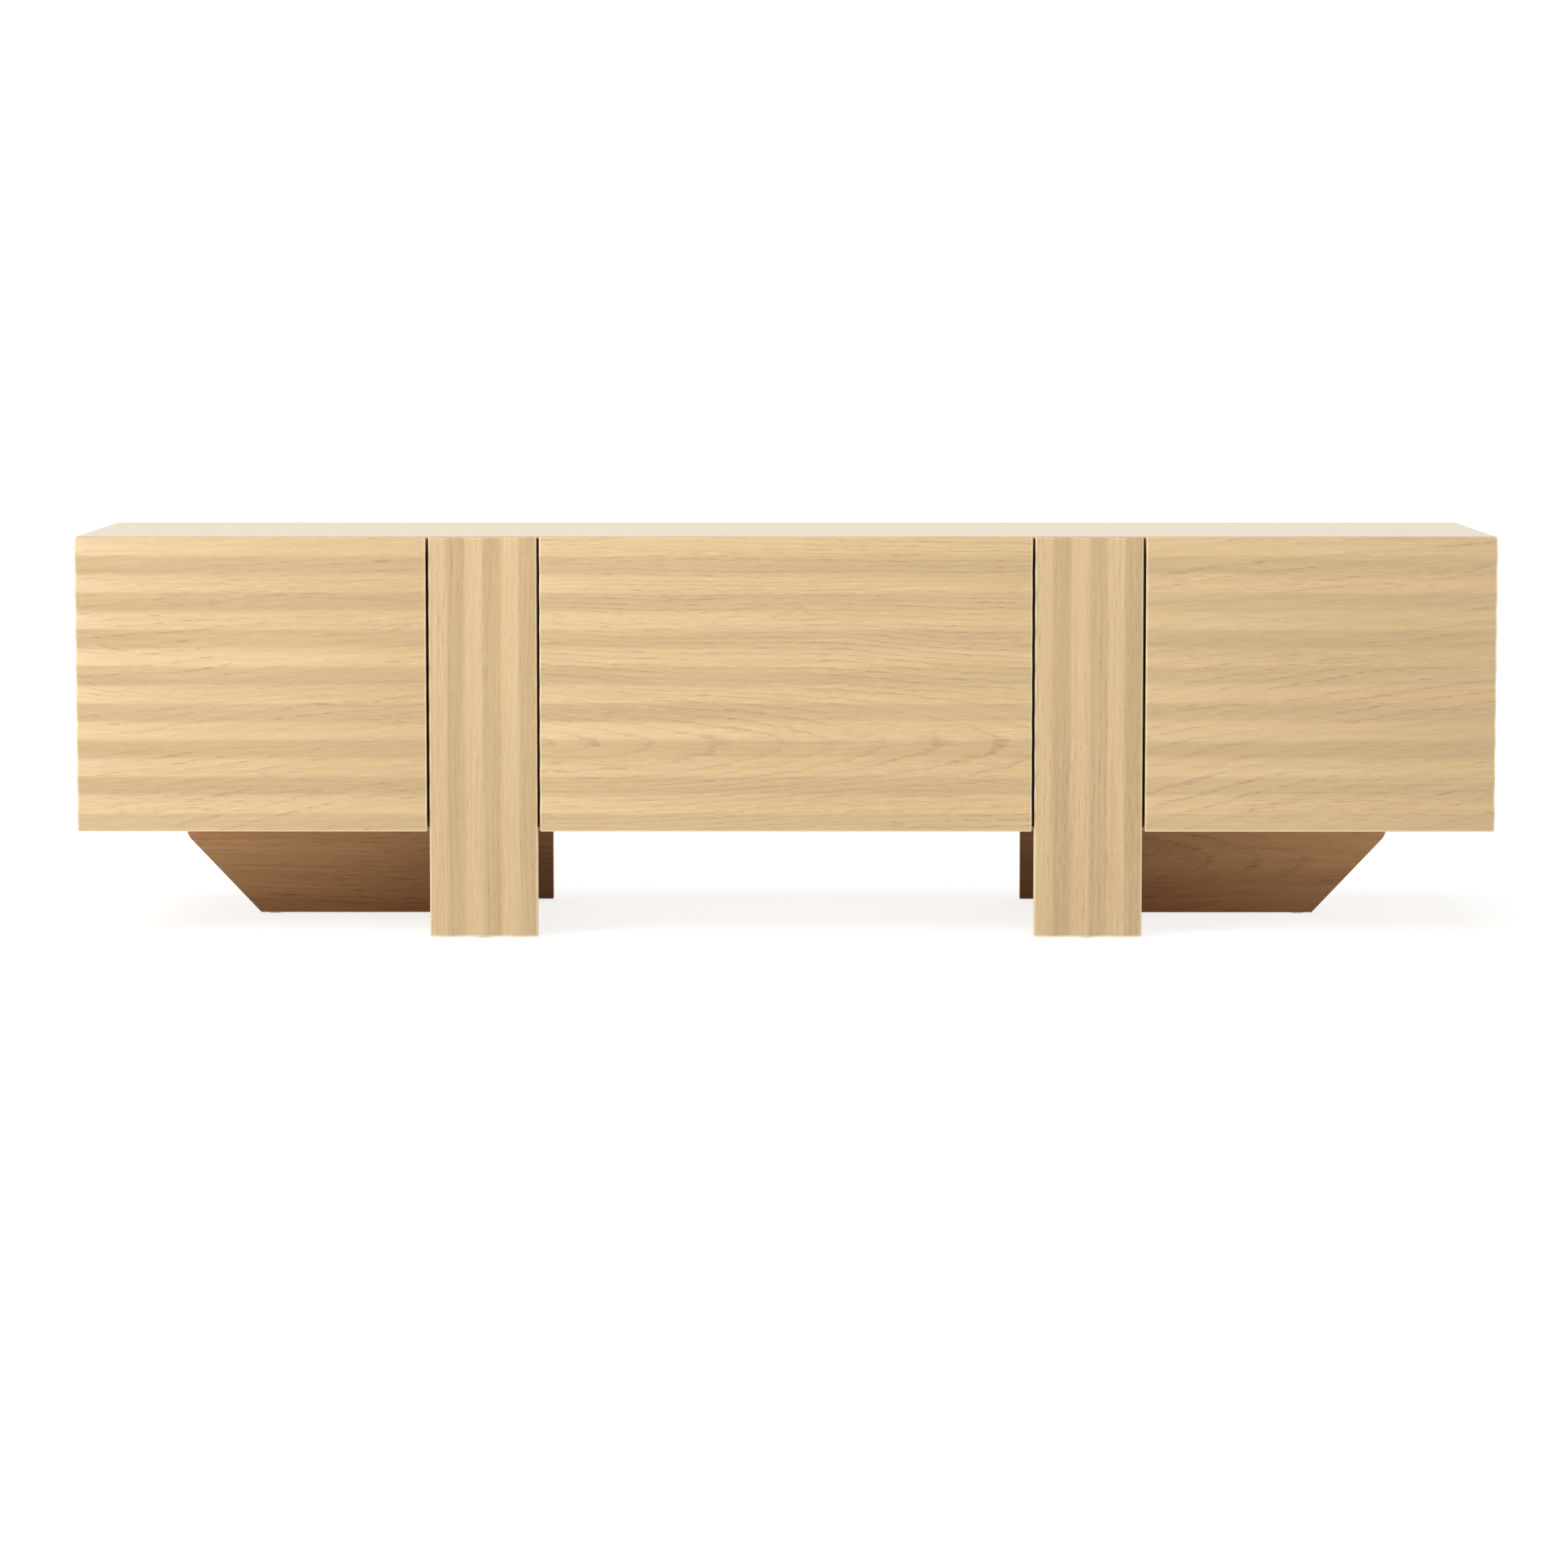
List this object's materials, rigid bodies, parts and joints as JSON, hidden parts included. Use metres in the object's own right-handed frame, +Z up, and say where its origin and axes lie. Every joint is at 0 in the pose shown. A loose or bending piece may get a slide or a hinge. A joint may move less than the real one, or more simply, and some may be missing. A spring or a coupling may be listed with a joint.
{
  "type": "media cabinet",
  "caption": "Low wide oak media cabinet with horizontally fluted side doors and drop flap, vertically fluted posts that run to the floor, and a recessed base with slanted wings.",
  "frame": {"origin": "centre of the footprint, on the floor", "axes": "+X to the right along the front, +Y to the back, +Z up"},
  "size_m": [1.8, 0.45, 0.51],
  "materials": {
    "oak": "matt lacquered oak veneer",
    "base_oak": "matt lacquered darker oak veneer",
    "hinge_nickel": "satin nickel plate",
    "latch_plastic": "fine texture",
    "glide_plastic": "fine texture",
    "grommet_plastic": "fine texture"
  },
  "bodies": {
    "cabinet": {"top_panel": "oak", "bottom_panel": "oak", "side_panel_left": "oak", "side_panel_right": "oak", "outer_divider_left": "oak", "outer_divider_right": "oak", "inner_divider_left": "oak", "inner_divider_right": "oak", "back_panel_left": "oak", "back_panel_centre": "oak", "back_panel_right": "oak", "cable_grommet_left": "grommet_plastic", "cable_grommet_centre": "grommet_plastic", "cable_grommet_right": "grommet_plastic", "shelf_left": "oak", "shelf_centre": "oak", "shelf_right": "oak", "post_left": "oak", "post_right": "oak", "wing_left": "base_oak", "wing_right": "base_oak", "spine_left": "base_oak", "spine_right": "base_oak", "rear_leg_left": "base_oak", "rear_leg_right": "base_oak", "glide_post_left": "glide_plastic", "glide_post_right": "glide_plastic", "glide_wing_left": "glide_plastic", "glide_wing_right": "glide_plastic", "glide_rear_left": "glide_plastic", "glide_rear_right": "glide_plastic", "hinge_arm_left_lower": "hinge_nickel", "hinge_arm_left_upper": "hinge_nickel", "hinge_arm_right_lower": "hinge_nickel", "hinge_arm_right_upper": "hinge_nickel", "hinge_arm_flap_left": "hinge_nickel", "hinge_arm_flap_right": "hinge_nickel", "latch_housing_door_left": "latch_plastic", "latch_housing_door_right": "latch_plastic", "latch_housing_flap_left": "latch_plastic", "latch_housing_flap_right": "latch_plastic"},
    "left_door": {"door_left": "oak", "hinge_cup_left_lower": "hinge_nickel", "hinge_cup_left_upper": "hinge_nickel", "hinge_pin_left_lower": "hinge_nickel", "hinge_pin_left_upper": "hinge_nickel"},
    "right_door": {"door_right": "oak", "hinge_cup_right_lower": "hinge_nickel", "hinge_cup_right_upper": "hinge_nickel", "hinge_pin_right_lower": "hinge_nickel", "hinge_pin_right_upper": "hinge_nickel"},
    "centre_flap": {"flap_centre": "oak", "hinge_cup_flap_left": "hinge_nickel", "hinge_cup_flap_right": "hinge_nickel", "hinge_pin_flap_left": "hinge_nickel", "hinge_pin_flap_right": "hinge_nickel"},
    "left_door_plunger": {"latch_plunger_door_left": "latch_plastic"},
    "right_door_plunger": {"latch_plunger_door_right": "latch_plastic"},
    "flap_plunger_left": {"latch_plunger_flap_left": "latch_plastic"},
    "flap_plunger_right": {"latch_plunger_flap_right": "latch_plastic"}
  },
  "joints": [
    {"name": "left_door_hinge", "type": "hinge", "parent": "cabinet", "child": "left_door", "pos_m": [-0.8905, -0.211, 0.323], "axis": [0, 0, -1], "range_deg": [0, 95]},
    {"name": "right_door_hinge", "type": "hinge", "parent": "cabinet", "child": "right_door", "pos_m": [0.8905, -0.211, 0.323], "axis": [0, 0, 1], "range_deg": [0, 95]},
    {"name": "flap_hinge", "type": "hinge", "parent": "cabinet", "child": "centre_flap", "pos_m": [0, -0.211, 0.1455], "axis": [1, 0, 0], "range_deg": [0, 90]},
    {"name": "left_door_latch", "type": "slide", "parent": "cabinet", "child": "left_door_plunger", "axis": [0, -1, 0], "range_m": [0, 0.018]},
    {"name": "right_door_latch", "type": "slide", "parent": "cabinet", "child": "right_door_plunger", "axis": [0, -1, 0], "range_m": [0, 0.018]},
    {"name": "flap_latch_left", "type": "slide", "parent": "cabinet", "child": "flap_plunger_left", "axis": [0, -1, 0], "range_m": [0, 0.018]},
    {"name": "flap_latch_right", "type": "slide", "parent": "cabinet", "child": "flap_plunger_right", "axis": [0, -1, 0], "range_m": [0, 0.018]}
  ],
  "couplings": [
    {"joint": "left_door_latch", "follows": "left_door_hinge", "m_per_rad": 0.0108},
    {"joint": "right_door_latch", "follows": "right_door_hinge", "m_per_rad": 0.0108},
    {"joint": "flap_latch_left", "follows": "flap_hinge", "m_per_rad": 0.0114},
    {"joint": "flap_latch_right", "follows": "flap_hinge", "m_per_rad": 0.0114}
  ]
}
